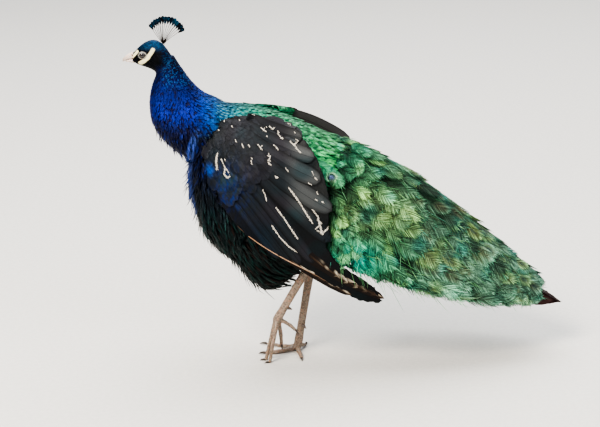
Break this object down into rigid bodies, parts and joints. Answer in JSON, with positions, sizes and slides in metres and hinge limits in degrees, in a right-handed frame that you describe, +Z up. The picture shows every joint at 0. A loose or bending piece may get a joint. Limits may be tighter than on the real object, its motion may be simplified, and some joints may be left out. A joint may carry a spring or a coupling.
{
  "type": "peacock",
  "caption": "Life-size standing peacock, male Indian peafowl with a short train, set still with drooped wings and one foot lightly set down.",
  "frame": {"origin": "on the floor, at the bottom centre of the bounding box", "axes": "+X from the bill towards the tail, +Z up, -Y towards the bird's left side"},
  "size_m": [0.984, 0.272, 0.8054],
  "materials": {
    "blue_plumage": "satin",
    "dark_plumage": "satin",
    "green_plumage": "satin",
    "undertail_down": "matte",
    "wing_feathers": "satin",
    "train_feathers": "satin",
    "tail_feathers": "satin",
    "crest_feathers": "satin",
    "eye": "gloss",
    "bill_horn": "satin",
    "leg_skin": "matte",
    "claw_horn": "satin"
  },
  "bodies": {
    "root": {"head": "blue_plumage", "neck_upper": "blue_plumage", "neck_lower": "blue_plumage", "breast": "dark_plumage", "belly": "dark_plumage", "left_thigh": "dark_plumage", "right_thigh": "dark_plumage", "back": "green_plumage", "undertail": "undertail_down", "left_wing_coverts": "wing_feathers", "left_wing_secondaries": "wing_feathers", "left_wing_primaries": "wing_feathers", "right_wing_coverts": "wing_feathers", "right_wing_secondaries": "wing_feathers", "right_wing_primaries": "wing_feathers", "train_saddle": "train_feathers", "train_middle": "train_feathers", "train_left": "train_feathers", "train_right": "train_feathers", "tail": "tail_feathers", "crest": "crest_feathers", "eye_left": "eye", "eye_right": "eye", "bill_upper": "bill_horn", "bill_lower": "bill_horn", "left_shank": "leg_skin", "left_toe_1": "leg_skin", "left_toe_2": "leg_skin", "left_toe_3": "leg_skin", "left_toe_4": "leg_skin", "left_spur": "claw_horn", "left_claw_1": "claw_horn", "left_claw_2": "claw_horn", "left_claw_3": "claw_horn", "left_claw_4": "claw_horn", "right_shank": "leg_skin", "right_toe_1": "leg_skin", "right_toe_2": "leg_skin", "right_toe_3": "leg_skin", "right_toe_4": "leg_skin", "right_spur": "claw_horn", "right_claw_1": "claw_horn", "right_claw_2": "claw_horn", "right_claw_3": "claw_horn", "right_claw_4": "claw_horn"}
  },
  "joints": []
}
